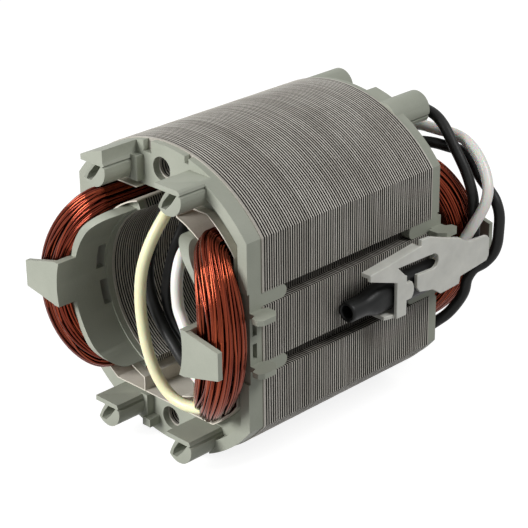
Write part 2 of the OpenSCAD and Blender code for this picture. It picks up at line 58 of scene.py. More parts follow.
# Camera
# A long lens a little over half a metre away, looking down on the front end and
# the right side. The aim is moved off the bore's centre in the picture plane.
MM = 0.001
LENS_MM = 120.9
CAMERA_AWAY = 526.4 * MM
AIM_RIGHT, AIM_UP = 1.42 * MM, -1.72 * MM
azimuth, elevation, roll = np.radians([45.41, 24.49, -0.76])
toward = np.array([
    np.sin(azimuth) * np.cos(elevation),
    -np.cos(azimuth) * np.cos(elevation),
    np.sin(elevation)])
level = np.array([np.cos(azimuth), np.sin(azimuth), 0.0])
upright = np.cross(toward, level)
right = np.cos(roll) * level + np.sin(roll) * upright
up = np.cos(roll) * upright - np.sin(roll) * level
stand = CAMERA_AWAY * toward + AIM_RIGHT * right + AIM_UP * up

camera = bpy.data.objects.new("camera", bpy.data.cameras.new("camera"))
camera.data.lens = LENS_MM
camera.data.sensor_width = 36.0
camera.data.clip_start = 0.01
camera.matrix_world = Matrix(np.vstack([np.column_stack([right, up, toward, stand]), [0, 0, 0, 1]]))
bpy.context.scene.collection.objects.link(camera)
bpy.context.scene.camera = camera


# Lamination stack
# Thin sheets of electrical steel, punched with poles, slots, bolt holes and key
# grooves, and pressed into a block. Each cut edge shows as a line of its own.
SHEETS = 79
STACK_R, FLAT_X, BORE_R, HORN_R = 46.5, 36.7, 25.75, 28.75
POLE_HALF, HORN_OPEN = 15.5, 22.0
YOKE_R, YOKE_X, LAND_Z = 38.5, 31.0, 32.5
BOLT_Z, BOLT_R = 39.0, 3.0
GROOVE_Z, GROOVE_HALF, GROOVE_DEEP = 10.5, 2.1, 3.5
SHEET_SEAM, SEAM_SHARE, SEAM_EDGE, SHEET_UNEVEN = 0.25, 0.48, 0.06, 0.03
SHEET_SEED = 7


def arc(radius, start, stop, count):
    """Points on a circle round the bore's axis, from one angle to another, in degrees."""
    angle = np.radians(np.linspace(start, stop, count))
    return radius * np.column_stack([np.cos(angle), np.sin(angle)])


def four_quarters(quarter):
    """A closed outline from its upper right quarter: that, its mirror image on the left,
    and both turned by half a turn."""
    half = np.vstack([quarter, (quarter[::-1] * [-1, 1])[1:]])
    return np.vstack([half[:-1], -half[:-1]])


def angle_at(radius, height):
    """Angle in degrees at which a circle of that radius is that high."""
    return np.degrees(np.arcsin(height / radius))


def sheet_outlines():
    """Outer edge, bore with its two slots, and the two bolt holes, each a closed outline
    in X and Z that has the steel on its left."""
    flat_top = np.sqrt(STACK_R ** 2 - FLAT_X ** 2)
    groove_x = FLAT_X - GROOVE_DEEP
    low, high = GROOVE_Z - GROOVE_HALF, GROOVE_Z + GROOVE_HALF
    outer = np.vstack([
        [[FLAT_X, 0], [FLAT_X, low], [groove_x, low], [groove_x, high], [FLAT_X, high]],
        arc(STACK_R, angle_at(STACK_R, flat_top), 90, 22)])
    yoke_z = np.sqrt(YOKE_R ** 2 - YOKE_X ** 2)
    inner = np.vstack([
        arc(BORE_R, 0, 90 - HORN_OPEN, 15),
        arc(HORN_R, 90 - HORN_OPEN, angle_at(HORN_R, POLE_HALF), 6),
        [[YOKE_X, POLE_HALF]],
        arc(YOKE_R, angle_at(YOKE_R, yoke_z), angle_at(YOKE_R, LAND_Z), 5),
        [[0, LAND_Z]]])
    hole = arc(BOLT_R, 0, 360, 21)[:-1]
    bolts = [hole[::-1] + [0, side * BOLT_Z] for side in (-1, 1)]
    return [four_quarters(outer), four_quarters(inner)[::-1]] + bolts


def inward(outline):
    """Unit normals of a closed outline in its own plane, pointing left of the way round."""
    run = np.roll(outline, -1, 0) - np.roll(outline, 1, 0)
    return np.column_stack([-run[:, 1], run[:, 0]]) / np.hypot(*run.T)[:, None]


def grid_faces(rows, columns, closed_rows=False):
    """Quads of a grid that is closed round its columns, and round its rows if asked."""
    row = np.arange(rows if closed_rows else rows - 1)[:, None] * columns
    after = (row + columns) % (rows * columns)
    here, there = np.arange(columns), (np.arange(columns) + 1) % columns
    return np.stack([row + here, row + there, after + there, after + here], -1).reshape(-1, 4)


def mesh_object(name, points, faces, marks=None, smooth=True):
    """A new mesh object at the origin from points in metres, quads and named point values."""
    mesh = bpy.data.meshes.new(name)
    mesh.from_pydata(points, [], faces)
    for mark, values in (marks or {}).items():
        layer = mesh.attributes.new(mark, "FLOAT", "POINT")
        layer.data.foreach_set("value", values.astype(np.float32))
    mesh.polygons.foreach_set("use_smooth", np.full(len(mesh.polygons), smooth))
    made = bpy.data.objects.new(name, mesh)
    bpy.context.scene.collection.objects.link(made)
    return made


def sheet_stack(length):
    """Each outline carried along Y in steps: at every seam it is set back into the steel,
    and on each sheet by that sheet's own small amount. The two end faces are filled. Marks
    give each sheet's tone, the seams and the floors of the key grooves."""
    pitch = length / SHEETS
    draw = np.random.default_rng(SHEET_SEED)
    uneven = draw.uniform(0, SHEET_UNEVEN, SHEETS)
    tone = draw.uniform(0, 1, SHEETS)
    within = np.array([0, SEAM_SHARE, SEAM_SHARE + SEAM_EDGE, 1 - SEAM_EDGE])
    y = np.append((np.arange(SHEETS)[:, None] + within).ravel() * pitch, length) - length / 2
    deep = np.full(SHEETS, SHEET_SEAM)
    back = np.append(np.column_stack([deep, deep, uneven, uneven]).ravel(), 0)
    back[:2] = 0
    shade = np.append(np.repeat(tone, 4), tone[-1])
    gap = np.append(np.tile([1.0, 1.0, 0.0, 0.0], SHEETS), 0)
    gap[:2] = 0
    points, faces, shades, gaps, groove_darks, first = [], [], [], [], [], 0
    for outline in sheet_outlines():
        inside = outline + back[:, None, None] * inward(outline)
        along = np.broadcast_to(y[:, None], inside.shape[:2])
        rings = np.stack([inside[..., 0], along, inside[..., 1]], -1)
        points.append(rings.reshape(-1, 3))
        faces.append(grid_faces(len(y), len(outline))[:, ::-1] + first)
        shades.append(np.repeat(shade, len(outline)))
        gaps.append(np.repeat(gap, len(outline)))
        groove_floor = np.isclose(np.abs(outline[:, 0]), FLAT_X - GROOVE_DEEP)
        groove_darks.append(np.tile(groove_floor.astype(float), len(y)))
        first += len(points[-1])
    marks = {"sheet_shade": shades, "sheet_gap": gaps, "groove_floor_dark": groove_darks}
    stack = mesh_object("laminations", np.vstack(points) * MM, np.vstack(faces),
                        {mark: np.concatenate(values) for mark, values in marks.items()})
    work = bmesh.new()
    work.from_mesh(stack.data)
    for end in (-1, 1):
        rim = [e for e in work.edges if e.is_boundary and e.verts[0].co.y * end > 0]
        bmesh.ops.triangle_fill(work, edges=rim, use_beauty=True, normal=(0, end, 0))
    bmesh.ops.recalc_face_normals(work, faces=work.faces)
    work.to_mesh(stack.data)
    work.free()
    stack.data.set_sharp_from_angle(angle=np.radians(20))
    return stack


def tint(red, green, blue):
    """A colour as it looks on a screen, 0 to 255, in linear light with full alpha."""
    screen = np.array([red, green, blue]) / 255
    linear = np.where(screen <= 0.04045, screen / 12.92, ((screen + 0.055) / 1.055) ** 2.4)
    return (*linear, 1.0)


def place(tree, kind, options=None, **inputs):
    """Adds a shader node. Options are its own settings. An input is a value or a socket to
    link, named with _ for a space, or as in0, in1 where the node's inputs share a name."""
    made = tree.nodes.new(kind)
    for option, value in (options or {}).items():
        setattr(made, option, value)
    for name, value in inputs.items():
        numbered = name.startswith("in") and name[2:].isdigit()
        socket = made.inputs[int(name[2:])] if numbered else made.inputs[name.replace("_", " ")]
        if isinstance(value, bpy.types.NodeSocket):
            tree.links.new(value, socket)
        else:
            socket.default_value = value
    return made


def blend_colours(tree, share, first, second):
    """Colour that goes from first to second as share goes from 0 to 1."""
    mixed = place(tree, "ShaderNodeMix", {"data_type": "RGBA"}, Factor=share, in6=first, in7=second)
    return mixed.outputs[2]


def spread(tree, value, low, high):
    """A value from 0 to 1 put on the range from low to high."""
    return place(tree, "ShaderNodeMapRange", Value=value, To_Min=low, To_Max=high).outputs[0]


def stretch(tree, value, low, high):
    """The part of a value from low to high put on the range from 0 to 1."""
    return place(tree, "ShaderNodeMapRange", Value=value, From_Min=low, From_Max=high).outputs[0]


def point_mark(tree, name):
    """A named value that the mesh carries at its points."""
    return place(tree, "ShaderNodeAttribute", {"attribute_name": name}).outputs["Fac"]


def new_finish(name):
    """A new material with its tree and its Principled shader."""
    material = bpy.data.materials.new(name)
    material.use_nodes = True
    return material, material.node_tree, material.node_tree.nodes["Principled BSDF"]


def grain_group():
    """Shared surface unevenness on Object coordinates: Grain is fine speckle of the given
    size in metres, Patches are soft stains of the larger size, both from 0 to 1."""
    group = bpy.data.node_groups.new("surface_grain", "ShaderNodeTree")
    for name in ("Grain Size", "Patch Size"):
        group.interface.new_socket(name, in_out="INPUT", socket_type="NodeSocketFloat")
    for name in ("Grain", "Patches"):
        group.interface.new_socket(name, in_out="OUTPUT", socket_type="NodeSocketFloat")
    given = place(group, "NodeGroupInput")
    result = place(group, "NodeGroupOutput")
    where = place(group, "ShaderNodeTexCoord").outputs["Object"]
    for size, out, detail in (("Grain Size", "Grain", 2.0), ("Patch Size", "Patches", 4.0)):
        scale = place(group, "ShaderNodeMath", {"operation": "DIVIDE"}, in0=1.0, in1=given.outputs[size])
        noise = place(group, "ShaderNodeTexNoise", Vector=where, Scale=scale.outputs[0], Detail=detail)
        group.links.new(stretch(group, noise.outputs[0], 0.3, 0.7), result.inputs[out])
    return group


surface_grain = grain_group()


def grain(tree, grain_size, patch_size):
    """The shared unevenness placed in a material, with its two sizes in metres."""
    placed = place(tree, "ShaderNodeGroup", {"node_tree": surface_grain},
                   Grain_Size=grain_size, Patch_Size=patch_size)
    return placed.outputs["Grain"], placed.outputs["Patches"]


def bump(tree, height, strength, depth):
    """Normal from a height that goes from 0 to 1, of that depth in metres."""
    return place(tree, "ShaderNodeBump", Height=height, Strength=strength, Distance=depth).outputs[0]


def sheet_steel():
    """Dull cut steel: nearly one tone, a shade apart from sheet to sheet, faintly stained, darker on the
    floors of the key grooves, and dark in the seams."""
    material, tree, steel = new_finish("sheet_steel")
    specks, stains = grain(tree, 0.5 * MM, 14 * MM)
    sheets = blend_colours(tree, point_mark(tree, "sheet_shade"), tint(173, 169, 160), tint(216, 212, 203))
    stained = blend_colours(tree, spread(tree, stains, 0.0, 0.4), sheets, tint(124, 114, 102))
    speckled = blend_colours(tree, spread(tree, specks, 0.0, 0.2), stained, tint(226, 223, 216))
    # The floors of the key grooves are made darker in colour.
    groove_dark = spread(tree, point_mark(tree, "groove_floor_dark"), 0.0, 0.7)
    darkened = blend_colours(tree, groove_dark, speckled, tint(58, 53, 46))
    seam = stretch(tree, point_mark(tree, "sheet_gap"), 0.0, 0.4)
    seamed = blend_colours(tree, seam, darkened, tint(16, 15, 13))
    tree.links.new(seamed, steel.inputs["Base Color"])
    tree.links.new(spread(tree, specks, 0.4, 0.55), steel.inputs["Roughness"])
    steel.inputs["Metallic"].default_value = 0.1
    steel.inputs["Specular IOR Level"].default_value = 0.2
    return material


def dress(piece, material, slot, *nodes):
    """Gives a new piece its material and body, and hides the CAD nodes it stands for. The slot is not
    used.
    """
    piece.data.materials.clear()
    piece.data.materials.append(material)
    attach(piece, "root")
    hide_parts(*nodes)


stack_low, stack_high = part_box("lamination_stack")
stack_len = (stack_high - stack_low)[1] / MM
dress(sheet_stack(stack_len), sheet_steel(), "electrical_steel", "lamination_stack")


# Slot liners
# Stiff insulating paper folded round each coil side, to keep the wires off the steel.
# It stands out of both ends of the stack, and one sheet runs across the lower gap.
PAPER_T, PAPER_GAP, PAPER_CLOSE = 0.4, 0.1, 8.0


def slot_fold():
    """Where a sheet lies in the upper right slot, in X and Z: along the land, down the yoke's
    arc and wall, in along the pole and back up the horn's arc."""
    land, yoke_r, yoke_x = LAND_Z - PAPER_GAP, YOKE_R - PAPER_GAP, YOKE_X - PAPER_GAP
    pole, horn_r, close = POLE_HALF + PAPER_GAP, HORN_R + PAPER_GAP, PAPER_CLOSE + PAPER_GAP
    return np.vstack([
        [[close, land]],
        arc(yoke_r, angle_at(yoke_r, land), np.degrees(np.arccos(yoke_x / yoke_r)), 6),
        [[yoke_x, pole]],
        arc(horn_r, angle_at(horn_r, pole), np.degrees(np.arccos(close / horn_r)), 12)])


def folded_sheet(name, fold, sides, low, high):
    """A fold line carried along Y from low to high, with the paper's thickness laid off to the
    right of it and mitred at the bends. sides, each 1 or -1, turns it to another slot."""
    run = np.diff(fold, axis=0)
    run /= np.hypot(*run.T)[:, None]
    across = np.column_stack([run[:, 1], -run[:, 0]])
    before, after = np.vstack([across[:1], across]), np.vstack([across, across[-1:]])
    inner = fold + PAPER_T * (before + after) / (1 + (before * after).sum(1, keepdims=True))
    ring = np.vstack([fold, inner[::-1]]) * sides
    count = len(ring)
    x, z = np.tile(ring, (2, 1)).T
    points = np.column_stack([x, np.repeat([low, high], count), z])
    i = np.arange(len(fold) - 1)
    cap = np.column_stack([i, i + 1, count - 2 - i, count - 1 - i])
    faces = np.vstack([grid_faces(2, count), cap, cap + count])
    sheet = mesh_object(name, points * MM, faces, smooth=False)
    work = bmesh.new()
    work.from_mesh(sheet.data)
    bmesh.ops.recalc_face_normals(work, faces=work.faces)
    work.to_mesh(sheet.data)
    work.free()
    return sheet


def slot_paper():
    """Off-white pressed paper with short fibres and faint stains."""
    material, tree, paper = new_finish("slot_paper")
    fibres, stains = grain(tree, 0.35 * MM, 9 * MM)
    toned = blend_colours(tree, spread(tree, stains, 0.0, 1.0), tint(198, 192, 178), tint(216, 210, 197))
    flecked = blend_colours(tree, spread(tree, fibres, 0.0, 0.3), toned, tint(228, 224, 215))
    tree.links.new(flecked, paper.inputs["Base Color"])
    tree.links.new(bump(tree, fibres, 0.2, 0.05 * MM), paper.inputs["Normal"])
    paper.inputs["Roughness"].default_value = 0.75
    paper.inputs["Specular IOR Level"].default_value = 0.25
    return material


paper = slot_paper()
open_fold = slot_fold()
shut = [PAPER_CLOSE + PAPER_GAP, LAND_Z - PAPER_GAP - 1.1 * PAPER_T]
closed_fold = np.vstack([open_fold, shut])
wide_fold = np.vstack([[[2 * PAPER_GAP - PAPER_CLOSE, LAND_Z - PAPER_GAP]], closed_fold])
for side, fold, turn in (("upper_right", closed_fold, (1, 1)), ("upper_left", open_fold, (-1, 1)),
                         ("lower_right", wide_fold, (1, -1)), ("lower_left", closed_fold, (-1, -1))):
    node = side + "_slot_liner"
    paper_low, paper_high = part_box(node)
    sheet = folded_sheet(side + "_paper", fold, turn, paper_low[1] / MM, paper_high[1] / MM)
    dress(sheet, paper, "slot_paper", node)


# End insulators
# One glass-filled moulding on each end: face plate, rim wall, wire clips, coil
# tongues with their hook tabs, shelves and keys. They push onto the stack's ends.
MOULDING_EASE = 0.45
SHARP_EDGE, FLAT_EDGE = np.radians([32, 0.6])
SAME_POINT = 0.002


def eased_copy(node, name, ease):
    """A copy of a CAD node with its points merged, flat faces joined up and its edges
    rounded by that width."""
    copy = bpy.data.objects.new(name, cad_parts[node].data.copy())
    bpy.context.scene.collection.objects.link(copy)
    work = bmesh.new()
    work.from_mesh(copy.data)
    bmesh.ops.remove_doubles(work, verts=work.verts, dist=SAME_POINT * MM)
    bmesh.ops.dissolve_limit(work, angle_limit=FLAT_EDGE, verts=work.verts, edges=work.edges)
    work.to_mesh(copy.data)
    work.free()
    copy.data.polygons.foreach_set("use_smooth", np.full(len(copy.data.polygons), True))
    copy.data.set_sharp_from_angle(angle=SHARP_EDGE)
    rounding = copy.modifiers.new("eased_edges", "BEVEL")
    rounding.width = ease
    rounding.segments = 3
    rounding.limit_method = "ANGLE"
    rounding.angle_limit = SHARP_EDGE
    rounding.harden_normals = True
    return copy


def grey_moulding():
    """Grey-green glass-filled plastic: a fine matt grain and slightly uneven colour."""
    material, tree, plastic = new_finish("grey_moulding")
    specks, stains = grain(tree, 0.4 * MM, 14 * MM)
    toned = blend_colours(tree, spread(tree, stains, 0.0, 1.0), tint(150, 154, 141), tint(162, 165, 152))
    flecked = blend_colours(tree, spread(tree, specks, 0.0, 0.25), toned, tint(174, 177, 164))
    tree.links.new(flecked, plastic.inputs["Base Color"])
    tree.links.new(spread(tree, specks, 0.46, 0.58), plastic.inputs["Roughness"])
    tree.links.new(bump(tree, specks, 0.12, 0.04 * MM), plastic.inputs["Normal"])
    plastic.inputs["Specular IOR Level"].default_value = 0.3
    return material


moulding = grey_moulding()
for end in ("front", "rear"):
    node = end + "_end_insulator"
    dress(eased_copy(node, end + "_insulator", MOULDING_EASE * MM), moulding, "moulding", node)


# Coils
# Enamelled copper wire wound round each pole in a machine and left as it fell.
# Each turn lies in two slots and runs over the end turn in half an ellipse.
WIRE_R, WIRE_SIDES = 0.46, 6
WIRE_LAYERS = ((42, 0.0), (40, 0.6), (34, 1.25))
WIRE_WANDER, WIRE_UNEVEN, WIRE_DIP = np.array([0.018, 0.013, 0.008]), 0.3, 0.12
CORE_INSET, CORE_SIDES = 1.9, 32
COIL_IN, COIL_OUT, COIL_BAND = 29.35, 37.8, 12.4
COIL_MID, COIL_DEPTH = (COIL_IN + COIL_OUT) / 2, COIL_OUT - COIL_IN
COIL_ARC, COIL_STRAIGHT = 25.34, 39.7
TURN_FRONT, TURN_REAR = 7.5, 11.5
COIL_SAG, COIL_SWELL, COIL_BULGE = 0.15, 1.4, 1.2
COIL_POWER, TURN_POWER, TURN_RINGS = 2.6, 1.2, 44


def loop_bends():
    """Once round a coil: the bend angle from -90 to 90 degrees over the front end turn and
    back over the rear one, and which end each ring is on."""
    bend = np.radians(np.linspace(-90, 90, TURN_RINGS))
    return np.append(bend, bend[::-1]), np.repeat([-1.0, 1.0], TURN_RINGS)


def wire_line(bend, end, out, across):
    """Points of wires at a height over the coil's middle radius and a distance from the
    middle of its band. Over an end turn a wire runs round half an ellipse whose height
    grows with that distance, wrapped on a cylinder, and a little fuller in its lower half."""
    turn = np.sin(bend) * (COIL_ARC + across) / COIL_MID
    reach = np.where(end < 0, TURN_FRONT, TURN_REAR) + across
    y = end * (COIL_STRAIGHT + np.cos(bend) * reach * (1 - COIL_SAG * np.sin(bend)))
    radius = COIL_MID + out
    return np.stack(np.broadcast_arrays(radius * np.cos(turn), y, radius * np.sin(turn)), -1)


def bundle_place(share, inset, bend):
    """Height and distance of a place on the bundle's rounded oblong outline. share runs once
    round it by length, and inset is how deep under the outline it is. Over an end turn the
    bundle is fuller at its corners, swells outward and bulges inward."""
    angle = np.linspace(0, 2 * np.pi, 721)
    power = 2 / COIL_POWER
    corner = np.column_stack([
        COIL_DEPTH / 2 * np.sign(np.cos(angle)) * np.abs(np.cos(angle)) ** power,
        COIL_BAND / 2 * np.sign(np.sin(angle)) * np.abs(np.sin(angle)) ** power])
    length = np.append(0, np.cumsum(np.hypot(*np.diff(corner, axis=0).T)))
    angle = np.interp(share % 1.0, length / length[-1], angle)
    swell, bulge = COIL_SWELL * np.cos(bend), COIL_BULGE * np.cos(bend)
    power = 2 / (COIL_POWER + TURN_POWER * np.cos(bend))
    c, s = np.cos(angle), np.sin(angle)
    depth = COIL_DEPTH + swell + bulge
    out = (swell - bulge) / 2 + np.sign(c) * (depth / 2 - inset) * np.abs(c) ** power
    across = np.sign(s) * (COIL_BAND / 2 - inset) * np.abs(s) ** power
    return out, across


def swept(path, side, radius, sides, closed):
    """A circle carried along each path: points and quads. side is a direction at each point
    of the path, from which the circle's own two axes are worked out square to the path."""
    ahead = np.roll(path, -1, -2) - np.roll(path, 1, -2)
    if not closed:
        ahead[..., 0, :] = path[..., 1, :] - path[..., 0, :]
        ahead[..., -1, :] = path[..., -1, :] - path[..., -2, :]
    ahead /= np.linalg.norm(ahead, axis=-1, keepdims=True)
    side = side - (side * ahead).sum(-1, keepdims=True) * ahead
    side /= np.linalg.norm(side, axis=-1, keepdims=True)
    other = np.cross(ahead, side)
    q = np.arange(sides) * 2 * np.pi / sides
    ring = np.cos(q)[:, None] * side[..., None, :] + np.sin(q)[:, None] * other[..., None, :]
    points = path[..., None, :] + radius * ring
    count = path.shape[-2]
    paths = int(np.prod(path.shape[:-2]))
    one = grid_faces(count, sides, closed)
    faces = one[None] + (np.arange(paths) * count * sides)[:, None, None]
    return points.reshape(-1, 3), faces.reshape(-1, 4)


def winding(name, seed, mirrored):
    """All the wires that show on one coil, in layers, over a plain core that fills its middle.
    Each wire wanders along the bundle's outline by slow waves, so that neighbours cross. A point's crown
    is 1 on the side of its wire that is turned away from the bundle's middle and 0 on the side turned in,
    where the copper's painted shade lies."""
    draw = np.random.default_rng(seed)
    bend, end = loop_bends()
    round_loop = np.linspace(0, 2 * np.pi, len(bend), endpoint=False)
    layers = []
    for count, depth in WIRE_LAYERS:
        share = (np.arange(count) + draw.uniform(-WIRE_UNEVEN, WIRE_UNEVEN, count)) / count
        wave = np.arange(1, 4)[:, None, None] * round_loop + draw.uniform(0, 2 * np.pi, (3, count, 1))
        swing = draw.normal(0, WIRE_WANDER[:, None, None], (3, count, 1))
        wander = (swing * np.sin(wave)).sum(0)
        dip = WIRE_DIP * (1 + np.sin(wave[1] + draw.uniform(0, 2 * np.pi, (count, 1))))
        out, across = bundle_place(share[:, None] + wander, WIRE_R + depth + dip, bend)
        layers.append(wire_line(bend, end, out, across))
    wires = np.concatenate(layers)
    turn = np.arctan2(wires[..., 2], wires[..., 0])
    radial = np.stack([np.cos(turn), np.zeros_like(turn), np.sin(turn)], -1)
    points, faces = swept(wires, radial, WIRE_R, WIRE_SIDES, True)
    tone = np.repeat(draw.uniform(0, 1, len(wires)), wires.shape[1] * WIRE_SIDES)
    away = wires - wire_line(bend, end, 0.0, 0.0)
    away /= np.linalg.norm(away, axis=-1, keepdims=True)
    spoke = (points.reshape(*wires.shape[:2], WIRE_SIDES, 3) - wires[:, :, None]) / WIRE_R
    crown = 0.5 + 0.5 * (spoke * away[:, :, None]).sum(-1).ravel()
    core_share = np.arange(CORE_SIDES)[None, :] / CORE_SIDES
    out, across = bundle_place(core_share, CORE_INSET, bend[:, None])
    core = wire_line(bend[:, None], end[:, None], out, across)
    core_faces = grid_faces(len(bend), CORE_SIDES, True) + len(points)
    points = np.vstack([points, core.reshape(-1, 3)])
    tone, crown = (np.append(mark, np.zeros(core.shape[0] * core.shape[1])) for mark in (tone, crown))
    faces = np.vstack([faces, core_faces])
    if mirrored:
        points = points * [-1, 1, 1]
        faces = faces[:, ::-1]
    return mesh_object(name, points * MM, faces, {"wire_tone": tone, "wire_crown": crown})


def enamelled_copper():
    """Copper under clear brown enamel: each wire has its own tone, and painted shade darkens the side of
    each wire turned in toward the bundle's middle, down in the gaps between wires."""
    material, tree, copper = new_finish("enamelled_copper")
    specks, stains = grain(tree, 0.5 * MM, 7 * MM)
    wires = blend_colours(tree, point_mark(tree, "wire_tone"), tint(104, 36, 18), tint(156, 70, 40))
    aged = blend_colours(tree, spread(tree, stains, 0.0, 0.5), wires, tint(96, 30, 15))
    # Painted shade: near black on the side of each wire turned in, where the wires meet.
    crown = stretch(tree, point_mark(tree, "wire_crown"), 0.4, 0.95)
    gap_shaded = blend_colours(tree, crown, tint(28, 6, 3), aged)
    tree.links.new(gap_shaded, copper.inputs["Base Color"])
    tree.links.new(spread(tree, specks, 0.08, 0.15), copper.inputs["Roughness"])
    copper.inputs["Metallic"].default_value = 0.9
    copper.inputs["Coat Weight"].default_value = 0.1
    copper.inputs["Coat Roughness"].default_value = 0.08
    return material


copper = enamelled_copper()
dress(winding("right_winding", 11, False), copper, "enamelled_copper", "right_coil")
dress(winding("left_winding", 23, True), copper, "enamelled_copper", "left_coil")


# Leads
# Stranded cords in soft insulation, one for each end of a coil. They pass through
# the gap between the upper poles: two go on into the boot, two back to a coil.
LEAD_D, LEAD_SIDES, LEAD_STEP = 3.4, 16, 0.9
PALE_ROUTE = [
    [24, -45.8, -23.4], [20.2, -46.2, -24.2], [16, -46.8, -24.3], [11.4, -47.4, -22.6],
    [7.4, -48, -18.2], [4.4, -48.5, -11], [2.6, -48.5, -3.6], [1.5, -48, 4],
    [1.6, -47, 12.2], [2.9, -45, 19.6], [4.3, -41.6, 26], [4.5, -37.6, 29.6],
    [4.5, -32, 30.4], [4.5, 38, 30.5], [3.8, 42, 33.4], [1.4, 45.6, 36.2], [-3.6, 47.6, 35.8],
    [-7.4, 48.8, 33.2], [-11, 49.6, 30.2], [-15, 49.4, 27.4], [-18.2, 48.6, 25],
    [-21, 47.5, 23.4], [-24, 46.4, 21.6]]
WHITE_ROUTE = [
    [29.6, -48.4, -14], [25.6, -49.2, -11.6], [23.4, -49, -9.6], [22.2, -48.6, -5.4],
    [20.6, -48, -0.8], [18.2, -47.3, 2.2], [16, -46.7, 4.9], [15.1, -46.3, 8.2],
    [14.7, -46, 11.6], [14.3, -45.3, 14.4], [14, -44.2, 17.2], [13.2, -42.2, 19.2],
    [11.6, -38.4, 20.2], [9.8, -34, 20.7], [7.2, -29, 23.6], [6.3, -23, 26.5],
    [6.1, -18, 26.9], [6.1, 38, 27.4], [6.5, 42, 29.2], [7.4, 46, 31], [10, 51, 31.5],
    [14, 55.2, 31], [20.4, 57, 30.4], [26, 57.6, 30.3], [30.4, 57.4, 29.5],
    [34.4, 56.8, 27.6], [38, 55.8, 24.9], [41, 54.6, 21.6], [43.2, 52.8, 18],
    [43.8, 51, 14.6], [43.4, 49.2, 11.6], [42.6, 47.4, 8.6], [41.4, 45.6, 5],
    [40.7, 43, 1.8], [40.5, 39, 0.65], [40.5, 33.6, 0.65], [40.5, 31.7, -0.45], [40.5, 27.4, -0.45]]
INNER_ROUTE = [
    [29.6, -45.8, -12.6], [25.2, -45.6, -12.5], [21.6, -45.4, -13.3], [17.6, -44.8, -13.2],
    [13.6, -43.8, -12.4], [9.6, -42.9, -10.2], [5.4, -42.4, -7], [1.2, -42.4, -1.4],
    [-0.9, -42.4, 4], [-1.6, -42, 11.4], [-1, -40.8, 17], [-0.4, -38.8, 22.6],
    [-1, -34.6, 27], [-1.1, -29, 28.2],
    [-1.1, 30, 28.2], [-0.6, 38, 28.6], [1, 45, 31.2], [5.2, 51, 35.4],
    [11, 54, 37.8], [17.6, 53.9, 37.2], [21.8, 53.6, 36.2], [25.2, 53, 34.4],
    [28, 52.4, 31.9], [30.5, 52.2, 28.7], [33.1, 52, 25.5], [35.4, 51.8, 22.4],
    [37.4, 51.5, 19], [39, 51.2, 15.2], [39.8, 50.8, 11], [40.9, 50, 6],
    [41.2, 48.8, 1], [40.8, 46.6, -2], [40.5, 43, -3.2], [40.5, 39, -3.29],
    [40.5, 33.6, -3.29], [40.5, 31.7, -4.1], [40.5, 27.4, -4.1]]
OUTER_ROUTE = [
    [29.6, -42.6, -13.2], [25.2, -41.9, -12.9], [21.6, -41.7, -13.4], [17.6, -41, -13.2],
    [13.6, -39.8, -12.2], [9.4, -38.9, -9.6], [5.4, -38.7, -6.2], [2.6, -38.6, -1.8],
    [2.1, -38.6, 3.6], [3.2, -38.2, 10.4], [4.4, -37, 16.6], [4.6, -34, 21.6],
    [3.4, -29, 25.6], [2.5, -22, 27.3], [2.5, 36, 27.2], [3.2, 41, 26.2],
    [6.4, 46, 25.8], [12.4, 50.8, 26.5], [19, 55, 26.6], [24.1, 57.3, 25.8], [28.6, 58.5, 25.1],
    [32.4, 58.6, 22.6], [35.6, 58.4, 18.9], [39.2, 58, 16.2], [42.6, 57.4, 13.6],
    [44.6, 57, 9.6], [45.3, 56.2, 5], [45.2, 55.7, 0.4], [44, 55.2, -3.2],
    [42.2, 53.6, -6], [40.8, 50.6, -7.4], [40.2, 48.4, -10], [39.4, 48.2, -14.4],
    [37.4, 47.4, -18.8], [35.2, 45.4, -22.6], [33, 43.4, -25],
    [31, 41.9, -27], [29.4, 40.9, -28.5]]


def smooth_line(route, spacing):
    """A smooth curve through all the route's points: on each stretch a cubic whose end
    directions are set by the neighbouring points, with the points spread by their distance."""
    points = np.asarray(route, float)
    padded = np.vstack([2 * points[0] - points[1], points, 2 * points[-1] - points[-2]])
    knots = np.append(0, np.cumsum(np.linalg.norm(np.diff(padded, axis=0), axis=1) ** 0.5))
    slope = np.gradient(padded, knots, axis=0)[1:-1]
    knots = knots[1:-1]
    spans = np.diff(knots)
    fine = np.linspace(knots[0], knots[-1], 4000)
    i = np.clip(np.searchsorted(knots, fine, "right") - 1, 0, len(spans) - 1)
    t = ((fine - knots[i]) / spans[i])[:, None]
    h = spans[i][:, None]
    curve = ((2 * t ** 3 - 3 * t ** 2 + 1) * points[i] + (t ** 3 - 2 * t ** 2 + t) * h * slope[i]
             + (3 * t ** 2 - 2 * t ** 3) * points[i + 1] + (t ** 3 - t ** 2) * h * slope[i + 1])
    length = np.append(0, np.cumsum(np.linalg.norm(np.diff(curve, axis=0), axis=1)))
    even = np.linspace(0, length[-1], int(length[-1] / spacing) + 1)
    return np.column_stack([np.interp(even, length, axis) for axis in curve.T]), length[-1]


def carried_side(path):
    """A direction square to the path, carried along it without twist: one that is square to a
    fixed direction as well, turned by the sum of its twists from point to point so far."""
    ahead = np.gradient(path, axis=0)
    ahead /= np.linalg.norm(ahead, axis=1, keepdims=True)
    side = np.cross(ahead, [0.3, 0.2, 1.0])
    side /= np.linalg.norm(side, axis=1, keepdims=True)
    other = np.cross(ahead, side)
    twist = np.arctan2((side[:-1] * other[1:]).sum(1), (side[:-1] * side[1:]).sum(1))
    turn = np.append(0, np.cumsum(twist))[:, None]
    return np.cos(turn) * side + np.sin(turn) * other


def lead(name, route, material, slot):
    """A round cord swept along its route, closed at both ends."""
    path, length = smooth_line(route, LEAD_STEP)
    points, faces = swept(path, carried_side(path), LEAD_D / 2, LEAD_SIDES, False)
    rim = np.arange(LEAD_SIDES)
    caps = [rim[::-1].tolist(), (rim + len(points) - LEAD_SIDES).tolist()]
    cord = mesh_object(name + "_cord", points * MM, faces.tolist() + caps)
    cord.data.set_sharp_from_angle(angle=np.radians(40))
    dress(cord, material, slot, name)


